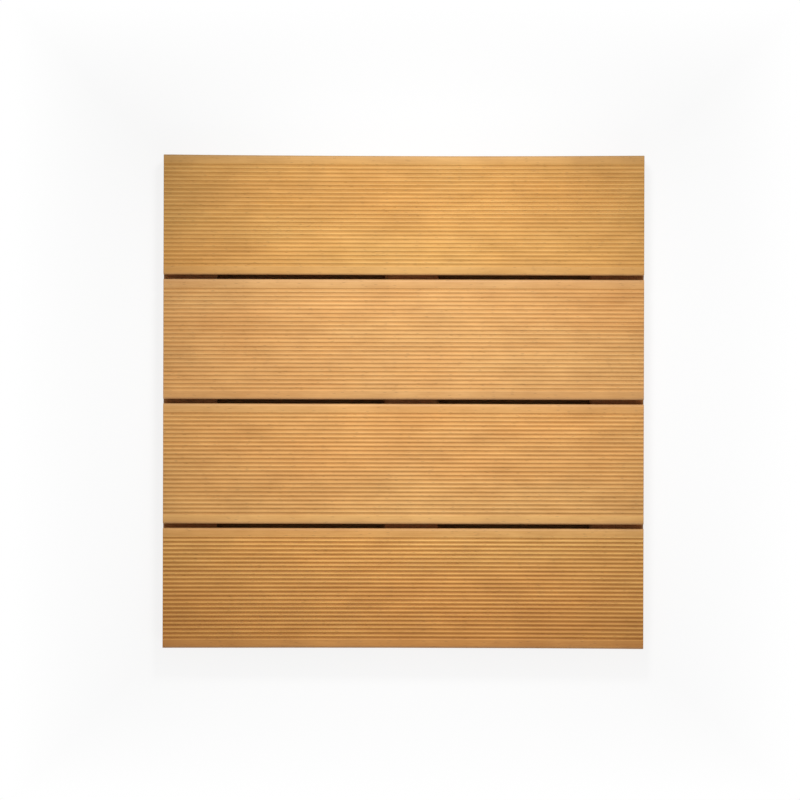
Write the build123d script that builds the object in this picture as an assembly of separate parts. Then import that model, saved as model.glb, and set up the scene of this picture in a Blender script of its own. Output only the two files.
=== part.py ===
"""Square hardwood decking tile, made of reeded boards screwed from below to cross battens.

The boards lie side by side along X with a drainage gap between them. Battens run
across them along Y: one flush with each end of the boards, and one near the middle.
Countersunk screws come up through the battens into the boards, two at each crossing,
so that none shows on the walking surface.

Frame: the origin is on the ground under the centre of the tile, +X runs along the
boards, +Y across them and +Z up. All sizes are in millimetres.
"""

import math
import os

from build123d import *

# Boards
board_count = 4
board_length = 480.0
board_width = 120.0
board_thickness = 19.0
board_gap = 4.3
board_top_round = 2.5
board_bottom_round = 1.5

# Reeding, cut along the walking face of each board
reed_pitch = 4.15
reed_depth = 1.2
reed_crest_radius = 1.2
reed_valley_width = 0.6
reed_margin = 8.0

# Battens
batten_width = 54.0
batten_thickness = 19.0
batten_setback = 3.0
batten_middle_offset = 8.0
batten_round = 2.0

# Screws: countersunk wood screws with a cross recess, driven up from below
screw_thread_diameter = 4.0
screw_thread_height = 0.55
screw_thread_length = 18.0
screw_tip_length = 4.0
screw_head_overhang = 2.0
screw_head_rim = 0.5
screw_sink = 0.6
screw_edge_distance = 25.0
screw_cover = 5.2
recess_width = 4.4
recess_slot = 1.1
recess_depth = 2.2
recess_floor_width = 2.0
screw_sides = 12

# Clearances of the holes round the screws
batten_hole_clearance = 0.25
pilot_clearance = 0.05
pilot_end_clearance = 1.0

# Worked out from the sizes above
board_pitch = board_width + board_gap
tile_width = board_count * board_pitch - board_gap
board_base = batten_thickness
batten_length = tile_width - 2 * batten_setback
batten_end_x = (board_length - batten_width) / 2
thread_radius = screw_thread_diameter / 2
shank_radius = thread_radius - screw_thread_height
head_radius = thread_radius + screw_head_overhang
screw_offset = board_width / 2 - screw_edge_distance
pilot_depth = board_thickness - reed_depth - screw_cover
screw_bite = pilot_depth - pilot_end_clearance
screw_length = batten_thickness + screw_bite - screw_sink

batten_places = {
    "left": -batten_end_x,
    "middle": batten_middle_offset,
    "right": batten_end_x,
}


def board_places():
    """The Y of each board's centre line, from the front of the tile to the back."""
    first = -(board_count - 1) * board_pitch / 2
    return [first + i * board_pitch for i in range(board_count)]


def screw_places(batten_x):
    """The X, Y of each screw in one batten: a pair under every board."""
    return [
        (batten_x, board_y + side * screw_offset)
        for board_y in board_places()
        for side in (-1, 1)
    ]


def reed_crest():
    """The radius of a reed's crest, and the angle it turns through on either side of its top.

    The flanks run straight from the flat of the valley and are tangent to the crest,
    whose radius is limited by the valleys beside it.
    """
    flank_y = (reed_pitch - reed_valley_width) / 2
    widest = (flank_y**2 + reed_depth**2) / (2 * reed_depth)
    radius = min(reed_crest_radius, 0.95 * widest)
    reach = math.hypot(flank_y, radius - reed_depth)
    turn = math.atan2(flank_y, radius - reed_depth) - math.acos(radius / reach)
    return radius, turn


def reed_lines(top):
    """The reeding in section, from -Y to +Y, starting and ending on top of a crest."""
    radius, turn = reed_crest()
    count = int((board_width - 2 * reed_margin) / reed_pitch)
    first = -(count - 1) * reed_pitch / 2
    half_valley = reed_valley_width / 2
    end_y = radius * math.sin(turn)
    end_z = top - radius * (1 - math.cos(turn))
    mid_y = radius * math.sin(turn / 2)
    mid_z = top - radius * (1 - math.cos(turn / 2))
    valley_z = top - reed_depth

    lines = []
    for i in range(count):
        valley_y = first + i * reed_pitch
        before_y = valley_y - reed_pitch / 2
        after_y = valley_y + reed_pitch / 2
        if i == 0:
            crest = (before_y, top), (before_y + mid_y, mid_z), (before_y + end_y, end_z)
            lines.append(ThreePointArc(*crest))
        groove = Polyline(
            (before_y + end_y, end_z),
            (valley_y - half_valley, valley_z),
            (valley_y + half_valley, valley_z),
            (after_y - end_y, end_z),
        )
        lines += groove.edges()
        if i < count - 1:
            crest = (after_y - end_y, end_z), (after_y, top), (after_y + end_y, end_z)
        else:
            crest = (after_y - end_y, end_z), (after_y - mid_y, mid_z), (after_y, top)
        lines.append(ThreePointArc(*crest))
    return lines


def board_section():
    """A board's section across its length: reeded on top, rounded along all four edges."""
    half = board_width / 2
    reeding = reed_lines(board_thickness)
    start = reeding[0] @ 0
    end = reeding[-1] @ 1
    low_z = board_bottom_round
    high_z = board_thickness - board_top_round
    top_y = half - board_top_round
    low_y = half - board_bottom_round
    sides = [
        Line(end, (top_y, board_thickness)),
        RadiusArc((top_y, board_thickness), (half, high_z), board_top_round),
        Line((half, high_z), (half, low_z)),
        RadiusArc((half, low_z), (low_y, 0), board_bottom_round),
        Line((low_y, 0), (-low_y, 0)),
        RadiusArc((-low_y, 0), (-half, low_z), board_bottom_round),
        Line((-half, low_z), (-half, high_z)),
        RadiusArc((-half, high_z), (-top_y, board_thickness), board_top_round),
        Line((-top_y, board_thickness), start),
    ]
    return make_face(reeding + sides)


def deck_board(board_y):
    """One board at its place, with the pilot holes that its screws have cut in it."""
    board = extrude(Plane.YZ * board_section(), board_length)
    board = Pos(-board_length / 2, 0, 0) * board
    for batten_x in batten_places.values():
        for side in (-1, 1):
            board -= Pos(batten_x, side * screw_offset, 0) * pilot_hole()
    return Pos(0, board_y, board_base) * board


def pilot_hole():
    """The blind hole in a board round one screw's thread, ending in a cone for its point."""
    radius = thread_radius + pilot_clearance
    point_height = screw_tip_length * radius / thread_radius
    return turned([(radius, 0), (radius, pilot_depth - point_height), (0, pilot_depth)])


def turned(profile):
    """A small round form about Z from its radius and height pairs, drawn with flats.

    The flats keep the many screws and their holes light, and line up with each other.
    """
    sections = []
    for radius, z in profile:
        ring = RegularPolygon(radius, screw_sides) if radius else Vertex(0, 0, 0)
        sections.append(Pos(0, 0, z) * ring)
    return flat_faced(loft(sections, ruled=True))


def flat_faced(form):
    """The form with every face made again as a true plane inside its own outline."""
    return Solid(Shell([Face(face.outer_wire()) for face in form.faces()]))


def batten(batten_x):
    """One batten across the boards, with a countersunk clearance hole for each screw."""
    body = Box(
        batten_width,
        batten_length,
        batten_thickness,
        align=(Align.CENTER, Align.CENTER, Align.MIN),
    )
    long_edges = body.edges().filter_by(Axis.Y)
    body = Pos(batten_x, 0, 0) * fillet(long_edges, batten_round)
    for x, y in screw_places(batten_x):
        body -= Pos(x, y, 0) * clearance_hole()
    return body


def clearance_hole():
    """The hole through a batten: sunk for the head, then wide enough for the thread."""
    hole_radius = thread_radius + batten_hole_clearance
    rim_top = screw_sink + screw_head_rim
    return turned([
        (head_radius, 0),
        (head_radius, rim_top),
        (hole_radius, rim_top + head_radius - hole_radius),
        (hole_radius, batten_thickness),
    ])


def screw():
    """One screw with its head down at Z 0 and its point up, the thread as its envelope."""
    neck_z = screw_head_rim + head_radius - shank_radius
    thread_z = screw_length - screw_thread_length
    blank = turned([
        (head_radius, 0),
        (head_radius, screw_head_rim),
        (shank_radius, neck_z),
        (shank_radius, thread_z),
        (thread_radius, thread_z + screw_thread_height),
        (thread_radius, screw_length - screw_tip_length),
        (0, screw_length),
    ])
    return blank - cross_recess()


def cross_recess():
    """The driver's recess in the head: two crossed slots that narrow towards the floor."""
    recess = None
    for turn in (0, 90):
        mouth = Rectangle(recess_width, recess_slot)
        floor = Pos(0, 0, recess_depth) * Rectangle(recess_floor_width, recess_slot)
        slot = Rot(0, 0, turn) * flat_faced(loft([mouth, floor]))
        recess = slot if recess is None else recess + slot
    return recess


def batten_screws(batten_x):
    """All the screws of one batten, as a group of separate solids."""
    one = screw()
    return Compound([Pos(x, y, screw_sink) * one for x, y in screw_places(batten_x)])


def main():
    os.makedirs("parts", exist_ok=True)
    for number, board_y in enumerate(board_places(), 1):
        export_step(deck_board(board_y), f"parts/board_{number}.step")
    for side, batten_x in batten_places.items():
        export_step(batten(batten_x), f"parts/batten_{side}.step")
        export_step(batten_screws(batten_x), f"parts/screws_{side}.step")


main()
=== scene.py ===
"""The looks of the reeded hardwood decking tile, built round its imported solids.

Everything is in metres in the part's own frame: +X along the boards, +Y across them,
+Z up, the origin on the ground under the middle of the tile.
"""

import math
import bmesh
import bpy
import numpy as np
from mathutils import Matrix, Vector

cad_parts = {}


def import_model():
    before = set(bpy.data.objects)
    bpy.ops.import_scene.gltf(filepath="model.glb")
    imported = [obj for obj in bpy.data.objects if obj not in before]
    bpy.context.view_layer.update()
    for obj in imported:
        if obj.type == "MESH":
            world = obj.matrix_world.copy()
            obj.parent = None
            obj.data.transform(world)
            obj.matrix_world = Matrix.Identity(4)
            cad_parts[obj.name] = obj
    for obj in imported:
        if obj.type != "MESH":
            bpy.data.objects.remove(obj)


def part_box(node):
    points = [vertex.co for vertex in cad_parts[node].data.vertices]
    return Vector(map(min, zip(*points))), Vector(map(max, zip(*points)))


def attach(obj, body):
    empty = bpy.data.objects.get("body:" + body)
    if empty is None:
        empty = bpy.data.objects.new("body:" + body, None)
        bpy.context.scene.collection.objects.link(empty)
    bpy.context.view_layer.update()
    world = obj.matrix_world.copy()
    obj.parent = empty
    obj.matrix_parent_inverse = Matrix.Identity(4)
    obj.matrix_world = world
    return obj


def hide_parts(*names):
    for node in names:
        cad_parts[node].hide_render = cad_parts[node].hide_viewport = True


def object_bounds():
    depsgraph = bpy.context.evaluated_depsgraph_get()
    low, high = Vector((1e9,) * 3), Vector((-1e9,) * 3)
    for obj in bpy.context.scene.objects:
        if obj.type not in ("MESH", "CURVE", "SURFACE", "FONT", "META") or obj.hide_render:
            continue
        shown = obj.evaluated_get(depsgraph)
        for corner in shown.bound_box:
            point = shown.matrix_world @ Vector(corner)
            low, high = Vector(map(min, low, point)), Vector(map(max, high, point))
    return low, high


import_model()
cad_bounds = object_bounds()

MM = 0.001


def rgba(red, green, blue):
    """An opaque colour."""
    return (red, green, blue, 1.0)


# Camera, high above the tile and looking down: its place, tilt in degrees and lens
CAMERA_PLACE = (-0.0035, 0.0017, 14.038)
CAMERA_TILT = (0.0, 0.0, 0.145)
CAMERA_LENS = 631.0
SENSOR_WIDTH = 36.0
CLIP_START = 0.01
CLIP_END = 50.0

# Strength of the white surround's light on the tile
WORLD_LIGHT = 0.28

# Floor: its size, how white it looks beside the tile, and how far out it is pure white
FLOOR_SIZE = 12.0
FLOOR_COLOUR = rgba(0.9, 0.9, 0.9)
FLOOR_WHITE_NEAR = 0.85
FLOOR_FADE = 0.15
# Under the tile it keeps all its shade, and is a painted brown shade so that the gaps look dark
# and warm, from so far inside the tile's outline
UNDER_TILE_SHADE_COLOUR = rgba(0.62, 0.32, 0.12)
ALL_SHADE_INSIDE = 4.0 * MM
ALL_PAINTED_SHADE_INSIDE = 12.0 * MM
NO_PAINTED_SHADE_INSIDE = 3.0 * MM

# Reeding of a board's walking face
REED_PITCH = 4.15 * MM
REED_DEPTH = 1.2 * MM
REED_CREST_RADIUS = 1.2 * MM
REED_VALLEY_WIDTH = 0.6 * MM
REED_VALLEY_SOFTNESS = 0.12 * MM
REED_COUNT = 25
REED_STEPS = 20

# Rounded edges, and the angle in degrees past which an edge stays sharp
BOARD_TOP_ROUND = 2.5 * MM
BOARD_BOTTOM_ROUND = 1.5 * MM
BATTEN_ROUND = 2.0 * MM
END_CHAMFER = 0.35 * MM
ROUND_STEPS = 9
SHARP_ANGLE = 35.0

# Steps along the bars. The boards' number keeps each step off the middle of a screw hole
BOARD_STEPS = 59
BATTEN_STEPS = 2

# How deep below a board's top its grooves and its rounded edges are looked for, and how
# far past its flat top its sides are
GROOVE_ZONE = 1.5 * REED_DEPTH
TOP_ZONE = 1.2 * BOARD_TOP_ROUND
SIDE_ZONE = 0.99 * BOARD_TOP_ROUND

# Natural unevenness of the planed boards: how deep the waves are, how long the longest is,
# how much of the planing varies across a board, and how far each edge's waves are shifted.
# A wave's weight is its share of the longest one's length and depth
PLANE_WAVE = 0.12 * MM
PLANE_WAVE_LENGTH = 0.31
PLANE_WAVE_WIDTH = 0.07
PLANE_WAVE_ACROSS = 0.4
EDGE_WAVE = 0.12 * MM
EDGE_WAVE_LENGTH = 0.43
EDGE_WAVE_SHIFT = 0.1
WAVE_WEIGHTS = (1.0, 0.5, 0.25)

# How hollow the outer edge of each outer board is, as a parabola along the board: the
# factors of the share of its length and of that share squared
OUTER_HOLLOW = {"board_1": (2.4 * MM, -2.4 * MM), "board_4": (4.2 * MM, -4.1 * MM)}

# Screws and their holes
SCREW_SIDES = 40
SCREW_SINK = 0.6 * MM
SCREW_EDGE_DISTANCE = 25.0 * MM
HEAD_RADIUS = 4.0 * MM
HEAD_RIM = 0.5 * MM
HEAD_CHAMFER = 0.1 * MM
SHANK_RADIUS = 1.45 * MM
THREAD_RADIUS = 2.0 * MM
THREAD_CORE_RADIUS = 1.3 * MM
THREAD_PITCH = 1.8 * MM
THREAD_LENGTH = 18.0 * MM
THREAD_RUN_IN = 1.5 * THREAD_PITCH
THREAD_STEPS = 10
RIDGE_HALF_WIDTH = 0.3
TIP_LENGTH = 4.0 * MM
HOLE_RADIUS = 2.25 * MM
PILOT_RADIUS = 2.05 * MM
PILOT_DEPTH = 12.6 * MM
PILOT_POINT = 4.1 * MM
RECESS_WIDTH = 4.4 * MM
RECESS_FLOOR_WIDTH = 2.0 * MM
RECESS_SLOT = 1.1 * MM
RECESS_DEPTH = 2.2 * MM

# How far a cutter reaches past the face that it cuts
HOLE_PAST = 1.0 * MM
RECESS_PAST = 0.3 * MM

# First random seeds, from which each piece has its own
BOARD_SEED_STEP = 10
BATTEN_SEED = 20
SCREW_SEED = 80

# Growth rings: two sets of bands laid over each other, and the share of the distance along
# the grain that counts in them
RING_SETS = (
    {"scale": 60.0, "distortion": 4.0, "breadth": 0.5, "weight": 0.55},
    {"scale": 170.0, "distortion": 6.0, "breadth": 0.3, "weight": 0.45},
)
RING_DETAIL = 3.0
RING_SHRINK = 0.05

# Where the pith of the tree lies, aside from the middle of a piece and below the ground
BOARD_PITH_ASIDE = 0.03
BOARD_PITH_BELOW = 0.02
BOARD_PITH_STEP = 0.01
BATTEN_PITH_STEP = 0.01
BATTEN_PITH_BELOW = 0.015

# How much each layer weighs in the wood's figure, and the range that goes dark to light
RINGS_ON_FACES = 0.12
RINGS_ON_ENDS = 0.45
BANDS_WEIGHT = 0.66
FIBRES_WEIGHT = 0.62
FIGURE_LOW = 0.34
FIGURE_HIGH = 1.06

# Pores: how many cells to a metre, the share of them with a pore, how far from its middle
# a pore is full and where it ends, and its darkness
PORE_CELLS = 850.0
PORE_SHARE = 0.55
PORE_SHRINK = 0.11
PORE_FULL = 0.10
PORE_END = 0.22
PORE_STRENGTH = 0.42
PORE_COLOUR = rgba(0.10, 0.045, 0.018)

# Tints that the wood's colour is multiplied by
BROAD_TINT = rgba(1.0, 0.93, 0.86)
PATCH_DARK = rgba(0.93, 0.925, 0.92)
PATCH_LIGHT = rgba(1.07, 1.075, 1.08)
# Painted shade in the grooves, with the oil and dirt that gather there
GROOVE_SHADE_AND_DIRT_TINT = rgba(0.62, 0.52, 0.42)
MARGIN_TINT = rgba(0.79, 0.73, 0.76)
# Painted shade on the boards' long sides: warmer and darker, as they look in the shade of the
# gaps
SIDE_SHADE_TINT = rgba(0.95, 0.83, 0.78)
# Painted shade across the first board, darker towards its front edge where the light falls off,
# with the board's own tone
FRONT_EDGE_SHADE_TINT = rgba(0.85, 0.73, 0.60)
END_GRAIN_TINT = rgba(0.82, 0.66, 0.54)

# The share of a groove's depth where its painted shade and dirt tint starts, and where it is full
GROOVE_TINT_STARTS = 0.2
GROOVE_TINT_FULL = 0.95

# Painted sheen on a board's rounded top edges, paler and greyer as the white surround's
# reflection there, with some wear too, and its share there
SHEEN_AND_WEAR_COLOUR = rgba(0.62, 0.50, 0.36)
SHEEN_AND_WEAR_SHARE = 0.175

# Each board's light and dark tone, how strongly its grooves take their painted shade and dirt
# (strongest on the first board, where the light falls most aslant), and how strongly its margins
# are tinted
BOARD_TONES = {
    "board_1": {"light": rgba(0.89, 0.540, 0.174), "dark": rgba(0.65, 0.343, 0.089),
                "groove": 1.4, "margin": 1.0},
    "board_2": {"light": rgba(0.80, 0.470, 0.165), "dark": rgba(0.59, 0.306, 0.088),
                "groove": 0.65, "margin": 0.55},
    "board_3": {"light": rgba(0.75, 0.440, 0.162), "dark": rgba(0.56, 0.288, 0.088),
                "groove": 0.45, "margin": 0.6},
    "board_4": {"light": rgba(0.72, 0.420, 0.132), "dark": rgba(0.53, 0.278, 0.068),
                "groove": 0.5, "margin": 0.5},
}
# The battens' light and dark tone, darker than the boards: partly their own plain wood, partly
# painted shade to match the dark gaps over them
BATTEN_LIGHT_WITH_SHADE = rgba(0.62, 0.33, 0.13)
BATTEN_DARK_WITH_SHADE = rgba(0.42, 0.20, 0.07)

# Gloss and relief of the wood
OILED_ROUGHNESS = (0.44, 0.56)
PLAIN_ROUGHNESS = (0.58, 0.72)
END_ROUGHNESS = 0.15
WOOD_RELIEF = 0.12 * MM
FIBRE_RELIEF = 0.5

# Steel of the screws
STEEL_DARK = rgba(0.50, 0.50, 0.49)
STEEL_LIGHT = rgba(0.62, 0.61, 0.60)
STEEL_ROUGHNESS = (0.26, 0.42)
STEEL_RELIEF = 0.05 * MM

BOARDS = [f"board_{i}" for i in range(1, 5)]
SIDES = ["left", "middle", "right"]


# Meshes

def new_object(name, verts, faces):
    """A mesh object of its own, shaded smooth but for its sharp edges."""
    mesh = bpy.data.meshes.new(name)
    mesh.from_pydata([tuple(v) for v in verts], [], faces)
    mesh.validate()
    mesh.update()
    obj = bpy.data.objects.new(name, mesh)
    bpy.context.scene.collection.objects.link(obj)
    shade(obj)
    return obj


def shade(obj):
    """Smooth shading, with sharp edges kept crisp."""
    mesh = obj.data
    mesh.polygons.foreach_set("use_smooth", [True] * len(mesh.polygons))
    mesh.set_sharp_from_angle(angle=math.radians(SHARP_ANGLE))


def store(obj, name, domain, values):
    """Stores one number for each vertex or face, which a material can read by name."""
    attribute = obj.data.attributes.new(name, "FLOAT", domain)
    attribute.data.foreach_set("value", np.asarray(values, np.float32))


def mark_ends(obj, axis, low, high):
    """Marks the faces of both chamfered ends with 1, for the end grain."""
    ends = []
    for face in obj.data.polygons:
        place = face.center[axis]
        ends.append(place < low + END_CHAMFER or place > high - END_CHAMFER)
    store(obj, "sawn_end", "FACE", ends)


def swept(profile, stations):
    """Vertices and faces of a bar: a closed profile at each station, its ends chamfered.

    The profile is an array of pairs, clockwise, and the stations run along the bar.
    Vertices come back as (station, profile first, profile second).
    """
    inset = inset_profile(profile, END_CHAMFER)
    start, end = stations[0], stations[-1]
    rings = [(start, inset), (start + END_CHAMFER, profile)]
    rings += [(station, profile) for station in stations[1:-1]]
    rings += [(end - END_CHAMFER, profile), (end, inset)]
    verts = [(station, a, b) for station, ring in rings for a, b in ring]
    count = len(profile)
    faces = []
    for row in range(len(rings) - 1):
        low = row * count
        high = low + count
        for i in range(count):
            j = (i + 1) % count
            faces.append((low + i, high + i, high + j, low + j))
    last = (len(rings) - 1) * count
    faces.append(tuple(range(count)))
    faces.append(tuple(reversed(range(last, last + count))))
    return np.array(verts), faces


def inset_profile(profile, distance):
    """The closed profile moved inwards by a distance, for a clockwise profile."""
    before = np.roll(profile, 1, axis=0)
    after = np.roll(profile, -1, axis=0)
    along = after - before
    along /= np.linalg.norm(along, axis=1)[:, None]
    inward = np.stack([along[:, 1], -along[:, 0]], axis=1)
    return profile + distance * inward


def corner(centre, radius, start, end):
    """Points of a rounded corner, from one angle in degrees to another."""
    angles = np.radians(np.linspace(start, end, ROUND_STEPS + 1))
    return [(centre[0] + radius * math.cos(a), centre[1] + radius * math.sin(a))
            for a in angles]


def rounded_corners(low, high, top_round, bottom_round):
    """The four corners of a bar's section, clockwise from its top right to its top left."""
    left, bottom = low
    right, top = high
    points = corner((right - top_round, top - top_round), top_round, 90, 0)
    points += corner((right - bottom_round, bottom + bottom_round), bottom_round, 0, -90)
    points += corner((left + bottom_round, bottom + bottom_round), bottom_round, -90, -180)
    points += corner((left + top_round, top - top_round), top_round, 180, 90)
    return points


def reed_depth_at(offset):
    """How far the walking face lies below a crest, at an offset from a valley's middle.

    The crests are round, the flanks are straight and tangent to them, and the flat valleys
    have slightly softened corners.
    """
    half = REED_PITCH / 2
    flank = half - REED_VALLEY_WIDTH / 2
    rise = REED_CREST_RADIUS - REED_DEPTH
    turn = math.atan2(flank, rise) - math.acos(REED_CREST_RADIUS / math.hypot(flank, rise))
    slope = math.tan(turn)
    crest_reach = REED_CREST_RADIUS * math.sin(turn)
    across = half - abs(offset)
    if across < crest_reach:
        return REED_CREST_RADIUS - math.sqrt(REED_CREST_RADIUS**2 - across**2)
    line = REED_DEPTH - (flank - across) * slope
    soft = REED_VALLEY_SOFTNESS
    return 0.5 * (line + REED_DEPTH - math.sqrt((line - REED_DEPTH) ** 2 + soft**2))


def board_profile(low, high):
    """A board's closed section as (Y, Z), clockwise seen from +X."""
    mid_y = (low.y + high.y) / 2
    first = -(REED_COUNT - 1) * REED_PITCH / 2
    points = []
    for i in range(REED_COUNT):
        for k in range(REED_STEPS):
            offset = (k / REED_STEPS - 0.5) * REED_PITCH
            y = mid_y + first + i * REED_PITCH + offset
            points.append((y, high.z - reed_depth_at(offset)))
    points.append((mid_y + first + (REED_COUNT - 0.5) * REED_PITCH, high.z))
    points += rounded_corners((low.y, low.z), (high.y, high.z), BOARD_TOP_ROUND,
                              BOARD_BOTTOM_ROUND)
    return np.array(points)


def board_marks(verts, low, high):
    """How much each vertex of a board lies in a groove, on a top edge, a margin or a side."""
    y, z = verts.T[1:]
    from_middle = np.abs(y - (low.y + high.y) / 2)
    reeded = from_middle < REED_COUNT * REED_PITCH / 2
    depth = np.clip((high.z - z) / REED_DEPTH, 0, 1)
    past_flat = from_middle - ((high.y - low.y) / 2 - BOARD_TOP_ROUND)
    near_top = z > high.z - TOP_ZONE
    return {
        "groove": np.where(reeded & (z > high.z - GROOVE_ZONE), depth, 0),
        "arris": np.clip(past_flat / BOARD_TOP_ROUND, 0, 1) * near_top,
        "margin": np.where(~reeded & near_top, 1, 0),
        "flank": np.where((past_flat > SIDE_ZONE) & ~near_top, 1, 0),
    }


def waves(values, seed, longest):
    """A smooth uneven line between 0 and 1 along the given places."""
    rng = np.random.default_rng(seed)
    total = np.zeros_like(values)
    for weight in WAVE_WEIGHTS:
        length = longest * weight
        total += np.sin(2 * math.pi * (values / length + rng.random())) * weight
    return 0.5 + total / (2 * sum(WAVE_WEIGHTS))


def plane_unevenly(verts, low, high, seed):
    """Moves a board's vertices a little down and inwards, as planed wood is uneven."""
    x, y, z = verts.T
    from_middle = y - (low.y + high.y) / 2
    height = (z - low.z) / (high.z - low.z)
    across = 1 - PLANE_WAVE_ACROSS + PLANE_WAVE_ACROSS * waves(y, seed + 1, PLANE_WAVE_WIDTH)
    z -= height * PLANE_WAVE * waves(x, seed, PLANE_WAVE_LENGTH) * across
    shifted = x + EDGE_WAVE_SHIFT * np.sign(from_middle)
    pull = EDGE_WAVE * waves(shifted, seed + 2, EDGE_WAVE_LENGTH)
    y -= from_middle / ((high.y - low.y) / 2) * pull


def hollow_outer_edge(verts, low, high, name):
    """Draws in the outer edge of the first or last board, most at the middle of its length."""
    x, y = verts.T[:2]
    along = (x - low.x) / (high.x - low.x)
    straight, squared = OUTER_HOLLOW[name]
    hollow = straight * along + squared * along**2
    if name == BOARDS[0]:
        y += hollow * (high.y - y) / (high.y - low.y)
    else:
        y -= hollow * (y - low.y) / (high.y - low.y)


def deck_board(name, seed):
    """One reeded board in place of its solid, a little uneven as planed wood is."""
    low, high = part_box(name)
    stations = np.linspace(low.x, high.x, BOARD_STEPS + 1)
    verts, faces = swept(board_profile(low, high), stations)
    marks = board_marks(verts, low, high)
    plane_unevenly(verts, low, high, seed)
    if name in OUTER_HOLLOW:
        hollow_outer_edge(verts, low, high, name)
    obj = new_object(f"deck_{name}", verts, faces)
    for mark, values in marks.items():
        store(obj, mark, "POINT", values)
    cut(obj, joined("pilots", pilot_holes(name)))
    mark_ends(obj, 0, low.x, high.x)
    return obj


def batten_x(side):
    """The X of a batten's middle."""
    low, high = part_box(f"batten_{side}")
    return (low.x + high.x) / 2


def screw_ys(board):
    """The Y of each of the two rows of screws in a board."""
    low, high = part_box(board)
    return low.y + SCREW_EDGE_DISTANCE, high.y - SCREW_EDGE_DISTANCE


def screw_places(side):
    """The X, Y of each screw in a batten: a pair under every board."""
    x = batten_x(side)
    return [(x, y) for board in BOARDS for y in screw_ys(board)]


def pilot_holes(board):
    """The forms of the blind holes that the screws have cut in a board from below."""
    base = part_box(board)[0].z
    hole = [(0, -HOLE_PAST), (PILOT_RADIUS, -HOLE_PAST),
            (PILOT_RADIUS, PILOT_DEPTH - PILOT_POINT), (0, PILOT_DEPTH)]
    return [turned("pilot", hole, (batten_x(side), y, base))
            for side in SIDES for y in screw_ys(board)]


def screw_holes(side, top):
    """The forms of the holes through a batten, sunk for the heads of its screws."""
    rim_top = SCREW_SINK + HEAD_RIM
    hole = [(0, -HOLE_PAST), (HEAD_RADIUS, -HOLE_PAST), (HEAD_RADIUS, rim_top),
            (HOLE_RADIUS, rim_top + HEAD_RADIUS - HOLE_RADIUS),
            (HOLE_RADIUS, top + HOLE_PAST), (0, top + HOLE_PAST)]
    return [turned("hole", hole, (x, y, 0)) for x, y in screw_places(side)]


def batten(side):
    """One batten in place of its solid, with a round sunk hole for each screw."""
    low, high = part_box(f"batten_{side}")
    profile = rounded_corners((low.x, low.z), (high.x, high.z), BATTEN_ROUND, BATTEN_ROUND)
    stations = np.linspace(low.y, high.y, BATTEN_STEPS + 1)
    verts, faces = swept(np.array(profile), stations)
    along_y = verts[:, [1, 0, 2]]
    obj = new_object(f"cross_batten_{side}", along_y, [face[::-1] for face in faces])
    cut(obj, joined("holes", screw_holes(side, high.z)))
    mark_ends(obj, 1, low.y, high.y)
    return obj


def turned(name, profile, place):
    """A closed turned form about a vertical axis, from pairs of radius and height."""
    verts = []
    rows = []
    angles = np.linspace(0, 2 * math.pi, SCREW_SIDES, endpoint=False)
    for radius, z in profile:
        if radius == 0:
            rows.append([len(verts)])
            verts.append((place[0], place[1], place[2] + z))
            continue
        rows.append(list(range(len(verts), len(verts) + SCREW_SIDES)))
        for a in angles:
            x = place[0] + radius * math.cos(a)
            y = place[1] + radius * math.sin(a)
            verts.append((x, y, place[2] + z))
    faces = []
    for low, high in zip(rows, rows[1:]):
        for i in range(SCREW_SIDES):
            j = (i + 1) % SCREW_SIDES
            if len(low) == 1:
                faces.append((low[0], high[j], high[i]))
            elif len(high) == 1:
                faces.append((low[i], low[j], high[0]))
            else:
                faces.append((low[i], low[j], high[j], high[i]))
    return new_object(name, verts, faces)


def cut(obj, cutter):
    """Takes the cutter's form out of the object, and removes the cutter."""
    modifier = obj.modifiers.new("cut", "BOOLEAN")
    modifier.operation = "DIFFERENCE"
    modifier.solver = "MANIFOLD"
    modifier.object = cutter
    graph = bpy.context.evaluated_depsgraph_get()
    mesh = bpy.data.meshes.new_from_object(obj.evaluated_get(graph))
    obj.modifiers.clear()
    old = obj.data
    obj.data = mesh
    bpy.data.meshes.remove(old)
    bpy.data.objects.remove(cutter)
    shade(obj)


def joined(name, objects):
    """The objects as one mesh object with a new name."""
    build = bmesh.new()
    for obj in objects:
        build.from_mesh(obj.data)
        bpy.data.objects.remove(obj)
    mesh = bpy.data.meshes.new(name)
    build.to_mesh(mesh)
    build.free()
    result = bpy.data.objects.new(name, mesh)
    bpy.context.scene.collection.objects.link(result)
    shade(result)
    return result


def recess_slots():
    """The forms of the driver's recess: two crossed slots that narrow towards the floor."""
    slope = (RECESS_WIDTH - RECESS_FLOOR_WIDTH) / 2 / RECESS_DEPTH
    mouth = RECESS_WIDTH / 2 + slope * RECESS_PAST
    levels = ((mouth, -RECESS_PAST), (RECESS_FLOOR_WIDTH / 2, RECESS_DEPTH))
    side = RECESS_SLOT / 2
    faces = [(3, 2, 1, 0), (4, 5, 6, 7), (0, 1, 5, 4), (1, 2, 6, 5), (2, 3, 7, 6), (3, 0, 4, 7)]
    slots = []
    for crosswise in (False, True):
        verts = []
        for half, z in levels:
            for a, b in ((-half, -side), (half, -side), (half, side), (-half, side)):
                verts.append((-b, a, z) if crosswise else (a, b, z))
        slots.append(new_object("slot", verts, faces))
    return slots


def thread_radius(z, angle, start, tip):
    """A screw's radius at a height and an angle on its helical thread."""
    phase = (z / THREAD_PITCH - angle / (2 * math.pi)) % 1.0
    ridge = max(0.0, 1 - abs(phase - 0.5) / RIDGE_HALF_WIDTH)
    grow = min(1.0, (z - start) / THREAD_RUN_IN)
    shrink = min(1.0, (tip - z) / TIP_LENGTH)
    radius = THREAD_CORE_RADIUS + ridge * grow * (THREAD_RADIUS - THREAD_CORE_RADIUS)
    return radius * shrink


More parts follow.
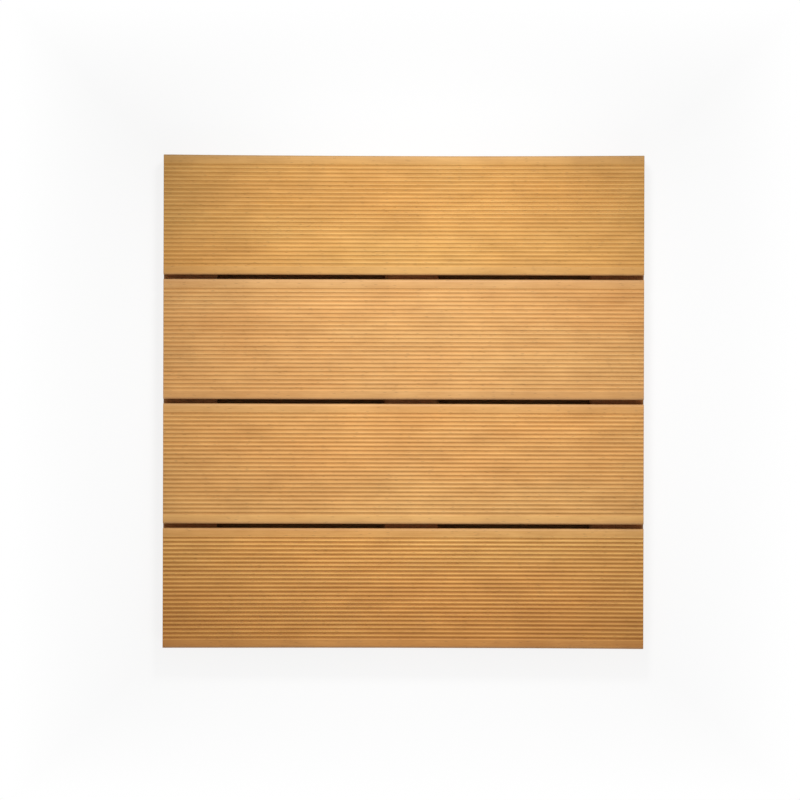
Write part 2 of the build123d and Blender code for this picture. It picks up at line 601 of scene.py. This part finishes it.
def screw_rings(length):
    """The rings of points round a screw, from its head to just under its point."""
    neck = HEAD_RIM + HEAD_RADIUS - SHANK_RADIUS
    start = length - THREAD_LENGTH
    plain = [(HEAD_RADIUS - HEAD_CHAMFER, 0), (HEAD_RADIUS, HEAD_CHAMFER),
             (HEAD_RADIUS, HEAD_RIM), (SHANK_RADIUS, neck), (SHANK_RADIUS, start)]
    angles = np.linspace(0, 2 * math.pi, SCREW_SIDES, endpoint=False)
    rings = [[(radius * math.cos(a), radius * math.sin(a), z) for a in angles]
             for radius, z in plain]
    count = int(THREAD_LENGTH / THREAD_PITCH * THREAD_STEPS)
    for k in range(1, count):
        z = start + THREAD_LENGTH * k / count
        ring = []
        for a in angles:
            radius = thread_radius(z, a, start, length)
            ring.append((radius * math.cos(a), radius * math.sin(a), z))
        rings.append(ring)
    return rings


def screw():
    """One screw standing on its head at the origin, with a real helical thread."""
    low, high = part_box("screws_left")
    length = high.z - low.z
    rings = screw_rings(length)
    verts = [point for ring in rings for point in ring]
    faces = []
    for start in range(0, len(verts) - SCREW_SIDES, SCREW_SIDES):
        for i in range(SCREW_SIDES):
            a = start + i
            b = start + (i + 1) % SCREW_SIDES
            faces.append((a, b, b + SCREW_SIDES, a + SCREW_SIDES))
    faces.append(tuple(reversed(range(SCREW_SIDES))))
    tip = len(verts)
    last = tip - SCREW_SIDES
    verts.append((0, 0, length))
    for i in range(SCREW_SIDES):
        faces.append((last + i, last + (i + 1) % SCREW_SIDES, tip))
    obj = new_object("screw", verts, faces)
    for slot in recess_slots():
        cut(obj, slot)
    return obj


def batten_screws(side, master, seed):
    """The screws of one batten as one piece, each turned to its own angle."""
    rng = np.random.default_rng(seed)
    copies = []
    for x, y in screw_places(side):
        one = master.copy()
        one.data = master.data.copy()
        bpy.context.scene.collection.objects.link(one)
        turn = rng.random() * 2 * math.pi
        one.data.transform(Matrix.Translation((x, y, SCREW_SINK)) @ Matrix.Rotation(turn, 4, "Z"))
        copies.append(one)
    return joined(f"wood_screws_{side}", copies)


# Materials

class Tree:
    """Short names for building one material's nodes."""

    def __init__(self, owner):
        owner.use_nodes = True
        self.nodes = owner.node_tree.nodes
        self.links = owner.node_tree.links
        self.nodes.clear()

    def add(self, kind, inputs=None, **settings):
        """A node with its settings, its inputs given as values or as other sockets."""
        node = self.nodes.new(kind)
        for name, value in settings.items():
            setattr(node, name, value)
        for name, value in (inputs or {}).items():
            socket = node.inputs[name]
            if isinstance(value, bpy.types.NodeSocket):
                self.links.new(value, socket)
            else:
                socket.default_value = value
        return node

    def surface(self, shader):
        """Makes a shader node the material's surface."""
        self.add("ShaderNodeOutputMaterial", {"Surface": shader.outputs[0]})

    def place(self):
        """The place of a point, in metres."""
        return self.add("ShaderNodeTexCoord").outputs["Object"]

    def moved(self, place, scale, shift=(0, 0, 0)):
        """A place scaled by a factor for each axis, and then shifted."""
        inputs = {"Vector": place, "Scale": scale, "Location": shift}
        return self.add("ShaderNodeMapping", inputs).outputs[0]

    def stored(self, name):
        """The number that the mesh stores under a name."""
        return self.add("ShaderNodeAttribute", attribute_name=name).outputs["Fac"]

    def math(self, operation, first, second=0.0, clamp=False):
        """The result of a sum on numbers or sockets."""
        node = self.add("ShaderNodeMath", {0: first, 1: second},
                        operation=operation, use_clamp=clamp)
        return node.outputs[0]

    def spread(self, value, low, high, to_low=0.0, to_high=1.0):
        """A number mapped from one range to another and kept inside it."""
        inputs = {"Value": value, "From Min": low, "From Max": high,
                  "To Min": to_low, "To Max": to_high}
        return self.add("ShaderNodeMapRange", inputs).outputs[0]

    def mix(self, share, first, second, blend="MIX"):
        """Two colours mixed by a share. The node's colour sockets go by number."""
        node = self.add("ShaderNodeMix", {0: share, 6: first, 7: second},
                        data_type="RGBA", blend_type=blend)
        return node.outputs[2]

    def tint(self, colour, tint, share=1.0):
        """The colour multiplied by a tint, as far as a share says."""
        return self.mix(share, colour, tint, "MULTIPLY")

    def noise(self, place, scale, detail, roughness=0.5):
        """Noise at a scale, in features per metre."""
        inputs = {"Vector": place, "Scale": scale, "Detail": detail, "Roughness": roughness}
        return self.add("ShaderNodeTexNoise", inputs).outputs[0]

    def bump(self, height, strength, distance):
        """A surface direction that follows a relief."""
        inputs = {"Height": height, "Strength": strength, "Distance": distance}
        return self.add("ShaderNodeBump", inputs).outputs[0]


class Hardwood:
    """Straight-grained hardwood: faint growth rings, fibres and pores along one axis."""

    def __init__(self, name, along, seed):
        self.material = bpy.data.materials.new(name)
        self.t = Tree(self.material)
        self.along = along
        self.place = self.t.place()
        self.shift = tuple(np.random.default_rng(seed).uniform(-5, 5, 3))
        self.sawn = self.t.stored("sawn_end")
        self.fibres = self.noise(shrink=0.05, scale=900, detail=3, roughness=0.6)
        self.pores = self.pore_marks()

    def drawn_out(self, shrink, shift):
        """Places shrunk along the grain, which draws a pattern out along it, and shifted."""
        scale = (shrink, 1, 1) if self.along == "X" else (1, shrink, 1)
        return self.t.moved(self.place, scale, shift)

    def noise(self, shrink, scale, detail, roughness=0.5):
        """Noise drawn out along the grain, and shifted so that no two pieces match."""
        return self.t.noise(self.drawn_out(shrink, self.shift), scale, detail, roughness)

    def growth_rings(self, pith):
        """Growth rings round the tree's pith, as bands on the faces and arcs on the ends."""
        place = self.drawn_out(RING_SHRINK, pith)
        rings = 0.0
        for bands in RING_SETS:
            inputs = {"Vector": place, "Scale": bands["scale"], "Detail": RING_DETAIL,
                      "Distortion": bands["distortion"], "Detail Scale": bands["breadth"]}
            wave = self.t.add("ShaderNodeTexWave", inputs, wave_type="RINGS",
                              rings_direction=self.along, wave_profile="SIN").outputs["Fac"]
            rings = self.t.math("ADD", rings, self.t.math("MULTIPLY", wave, bands["weight"]))
        return rings

    def pore_marks(self):
        """Open pores: short dark dashes along the grain, and dots on the end grain."""
        t = self.t
        place = self.drawn_out(PORE_SHRINK, self.shift)
        cells = t.add("ShaderNodeTexVoronoi", {"Vector": place, "Scale": PORE_CELLS})
        mark = t.spread(cells.outputs["Distance"], PORE_FULL, PORE_END, to_low=1.0, to_high=0.0)
        draw = t.add("ShaderNodeSeparateColor", {0: cells.outputs["Color"]}).outputs[0]
        return t.math("MULTIPLY", mark, t.math("LESS_THAN", draw, PORE_SHARE))

    def figure(self, pith):
        """The wood's figure from 0, dark, to 1, light: growth rings, bands and fibres."""
        t = self.t
        rings_weight = t.spread(self.sawn, 0.0, 1.0, RINGS_ON_FACES, RINGS_ON_ENDS)
        figure = t.math("MULTIPLY", self.growth_rings(pith), rings_weight)
        bands = self.noise(shrink=0.22, scale=90, detail=3, roughness=0.55)
        figure = t.math("ADD", figure, t.math("MULTIPLY", bands, BANDS_WEIGHT))
        figure = t.math("ADD", figure, t.math("MULTIPLY", self.fibres, FIBRES_WEIGHT))
        return t.spread(figure, FIGURE_LOW, FIGURE_HIGH)

    def tone(self, light, dark, pith):
        """The figure in its two tones, here and there warmer, and with uneven patches."""
        t = self.t
        colour = t.mix(self.figure(pith), dark, light)
        broad = self.noise(shrink=0.25, scale=14, detail=2)
        colour = t.tint(colour, BROAD_TINT, t.spread(broad, low=0.35, high=0.65))
        patches = t.spread(self.noise(shrink=0.5, scale=42, detail=3, roughness=0.65),
                           low=0.3, high=0.7)
        return t.tint(colour, t.mix(patches, PATCH_DARK, PATCH_LIGHT))

    def with_pores(self, colour):
        """The colour with the pores darkened."""
        return self.t.mix(self.t.math("MULTIPLY", self.pores, PORE_STRENGTH), colour, PORE_COLOUR)

    def relief(self):
        """The height of fibres and open pores, and of the saw's marks on the sawn ends."""
        t = self.t
        saw_marks = t.noise(t.moved(self.place, (1, 1, 0.02)), scale=700, detail=2)
        height = t.math("SUBTRACT", t.math("MULTIPLY", self.fibres, FIBRE_RELIEF), self.pores)
        return t.math("ADD", height, t.math("MULTIPLY", saw_marks, self.sawn))

    def finished(self, colour, roughness):
        """The material, with its end grain deeper and rougher."""
        t = self.t
        smooth, rough = roughness
        rough = t.spread(self.fibres, low=0.3, high=0.7, to_low=smooth, to_high=rough)
        rough = t.math("ADD", rough, t.math("MULTIPLY", self.sawn, END_ROUGHNESS))
        inputs = {"Base Color": t.tint(colour, END_GRAIN_TINT, self.sawn), "Roughness": rough,
                  "Normal": t.bump(self.relief(), strength=0.5, distance=WOOD_RELIEF),
                  "IOR": 1.45, "Specular IOR Level": 0.3}
        t.surface(t.add("ShaderNodeBsdfPrincipled", inputs))
        return self.material


def board_tints(wood, colour, groove, margin):
    """A board's colour with painted shade in its grooves and on its sides, its margins darker,
    and a painted sheen with some wear on its top edges.
    """
    t = wood.t
    planed = t.math("SUBTRACT", 1.0, wood.sawn)
    # Painted shade in the grooves, with oil and dirt, growing towards their bottoms
    deep = t.spread(t.stored("groove"), GROOVE_TINT_STARTS, GROOVE_TINT_FULL, to_high=groove)
    colour = t.tint(colour, GROOVE_SHADE_AND_DIRT_TINT, t.math("MULTIPLY", deep, planed))
    flat = t.math("MULTIPLY", t.stored("margin"), margin)
    colour = t.tint(colour, MARGIN_TINT, t.math("MULTIPLY", flat, planed))
    # Painted shade: the long sides warmer and darker
    colour = t.tint(colour, SIDE_SHADE_TINT, t.math("MULTIPLY", t.stored("flank"), planed))
    # Painted sheen: the rounded top edges paler and greyer, for the white surround's reflection,
    # with some wear
    sheen_and_wear = t.math("MULTIPLY", t.stored("arris"), SHEEN_AND_WEAR_SHARE)
    return t.mix(t.math("MULTIPLY", sheen_and_wear, planed), colour, SHEEN_AND_WEAR_COLOUR)


def board_wood(node, seed, pith):
    """The oiled wood of one board. The first board deepens towards its front edge, partly its own
    tone and partly painted shade where the light falls off towards the front.
    """
    tones = BOARD_TONES[node]
    wood = Hardwood(f"oiled_{node}", "X", seed)
    colour = wood.tone(tones["light"], tones["dark"], pith)
    # Painted shade, with the board's own tone: the first board darker towards its front edge
    if node == BOARDS[0]:
        low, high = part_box(node)
        across = wood.t.add("ShaderNodeSeparateXYZ", {0: wood.place}).outputs["Y"]
        share = wood.t.spread(across, low.y, high.y, to_low=1.0, to_high=0.0)
        colour = wood.t.tint(colour, FRONT_EDGE_SHADE_TINT, share)
    colour = board_tints(wood, wood.with_pores(colour), tones["groove"], tones["margin"])
    return wood.finished(colour, OILED_ROUGHNESS)


def batten_wood(side, seed, pith):
    """The plain wood of one batten, its darker tone partly painted shade for the gaps."""
    wood = Hardwood(f"plain_batten_{side}", "Y", seed)
    colour = wood.with_pores(wood.tone(BATTEN_LIGHT_WITH_SHADE, BATTEN_DARK_WITH_SHADE, pith))
    return wood.finished(colour, PLAIN_ROUGHNESS)


def steel(name):
    """Plain stainless steel with fine turning marks and faint smudges."""
    material = bpy.data.materials.new(name)
    t = Tree(material)
    place = t.place()
    smudge = t.noise(place, scale=400, detail=3)
    marks = t.noise(t.moved(place, (1, 1, 12)), scale=1500, detail=2)
    smooth, rough = STEEL_ROUGHNESS
    rough = t.spread(smudge, low=0.3, high=0.7, to_low=smooth, to_high=rough)
    inputs = {"Base Color": t.mix(smudge, STEEL_DARK, STEEL_LIGHT), "Metallic": 1.0,
              "Roughness": rough,
              "Normal": t.bump(marks, strength=0.25, distance=STEEL_RELIEF)}
    t.surface(t.add("ShaderNodeBsdfPrincipled", inputs))
    return material


# Stage

def seen_directly(t):
    """1 for rays from the camera, a mirror or glass, and 0 for those that light things."""
    path = t.add("ShaderNodeLightPath")
    total = t.math("ADD", path.outputs["Is Camera Ray"], path.outputs["Is Glossy Ray"])
    return t.math("ADD", total, path.outputs["Is Transmission Ray"], clamp=True)


def floor():
    """A pale floor that keeps the tile's shadow and fades to white away from it.

    Under the tile it is painted brown, a painted shade so that the gaps look dark and warm.
    """
    half = FLOOR_SIZE / 2
    verts = [(-half, -half, 0), (half, -half, 0), (half, half, 0), (-half, half, 0)]
    obj = new_object("floor", verts, [(0, 1, 2, 3)])
    material = bpy.data.materials.new("pale_floor")
    t = Tree(material)
    half_length, half_width = cad_bounds[1][:2]
    place = t.add("ShaderNodeSeparateXYZ", {0: t.place()})
    out_x = t.math("SUBTRACT", t.math("ABSOLUTE", place.outputs["X"]), half_length)
    out_y = t.math("SUBTRACT", t.math("ABSOLUTE", place.outputs["Y"]), half_width)
    out = t.math("MAXIMUM", out_x, out_y)
    near = t.spread(out, -ALL_SHADE_INSIDE, 0.0, to_high=FLOOR_WHITE_NEAR)
    far = t.spread(out, 0.0, FLOOR_FADE, to_high=1 - FLOOR_WHITE_NEAR)
    share = t.math("MULTIPLY", t.math("ADD", near, far), seen_directly(t))
    # Painted shade: the floor under the tile turns brown
    under = t.spread(out, -ALL_PAINTED_SHADE_INSIDE, -NO_PAINTED_SHADE_INSIDE, to_low=1.0, to_high=0.0)
    ground = t.mix(under, FLOOR_COLOUR, UNDER_TILE_SHADE_COLOUR)
    plain = t.add("ShaderNodeBsdfDiffuse", {"Color": ground})
    white = t.add("ShaderNodeEmission", {"Color": rgba(1, 1, 1), "Strength": 1.0})
    t.surface(t.add("ShaderNodeMixShader", {0: share, 1: plain.outputs[0], 2: white.outputs[0]}))
    obj.data.materials.append(material)


def world():
    """A white surround that lights softly."""
    surround = bpy.data.worlds.new("surround")
    bpy.context.scene.world = surround
    t = Tree(surround)
    strength = t.spread(seen_directly(t), 0.0, 1.0, to_low=WORLD_LIGHT, to_high=1.0)
    background = t.add("ShaderNodeBackground", {"Color": rgba(1, 1, 1), "Strength": strength})
    t.add("ShaderNodeOutputWorld", {"Surface": background.outputs[0]})


def lamp(name, kind, place, aim, size, power, cone=None):
    """A soft square panel or a soft-edged spot, aimed at a point."""
    data = bpy.data.lights.new(name, kind)
    data.energy = power
    if kind == "AREA":
        data.size = size
    else:
        data.shadow_soft_size = size / 2
        data.spot_size = math.radians(cone)
        data.spot_blend = 1.0
    obj = bpy.data.objects.new(name, data)
    obj.location = place
    obj.rotation_euler = (Vector(aim) - Vector(place)).to_track_quat("-Z", "Y").to_euler()
    obj.visible_camera = False
    bpy.context.scene.collection.objects.link(obj)


def camera():
    """The camera above the tile, at the photograph's angle."""
    data = bpy.data.cameras.new("camera")
    data.sensor_width = SENSOR_WIDTH
    data.lens = CAMERA_LENS
    data.clip_start = CLIP_START
    data.clip_end = CLIP_END
    obj = bpy.data.objects.new("camera", data)
    obj.location = CAMERA_PLACE
    obj.rotation_euler = [math.radians(a) for a in CAMERA_TILT]
    bpy.context.scene.collection.objects.link(obj)
    bpy.context.scene.camera = obj


# Pieces

def finish_piece(obj, material, node):
    """The piece gets its material, rides on the body and stands for its solid."""
    obj.data.materials.clear()
    obj.data.materials.append(material)
    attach(obj, "root")
    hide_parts(node)


def build_boards():
    """The four boards, each of its own wood, with the pith by turns to either side."""
    for number, node in enumerate(BOARDS, 1):
        low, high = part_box(node)
        aside = BOARD_PITH_ASIDE * (-1) ** number
        below = BOARD_PITH_BELOW + BOARD_PITH_STEP * number
        pith = (0.0, -(low.y + high.y) / 2 + aside, below)
        piece = deck_board(node, seed=BOARD_SEED_STEP * number)
        finish_piece(piece, board_wood(node, seed=number, pith=pith), node)


def build_battens():
    """The three battens and the screws in each."""
    master_screw = screw()
    steel_finish = steel("stainless")
    for number, side in enumerate(SIDES, 1):
        pith = (-batten_x(side) + BATTEN_PITH_STEP * number, 0.0, BATTEN_PITH_BELOW)
        piece = batten(side)
        wood = batten_wood(side, seed=BATTEN_SEED + number, pith=pith)
        finish_piece(piece, wood, f"batten_{side}")
        fixings = batten_screws(side, master_screw, seed=SCREW_SEED + number)
        finish_piece(fixings, steel_finish, f"screws_{side}")
    bpy.data.objects.remove(master_screw)


bpy.context.scene.view_settings.view_transform = "Standard"
camera()
world()
floor()
lamp("key", "SPOT", place=(0.04, 0.60, 0.95), aim=(0.02, 0.055, 0.04), size=0.22, power=45.5,
     cone=46)
lamp("fill", "AREA", place=(0.1, -0.75, 1.0), aim=(0.0, -0.05, 0.04), size=0.6, power=3.0)
build_boards()
build_battens()
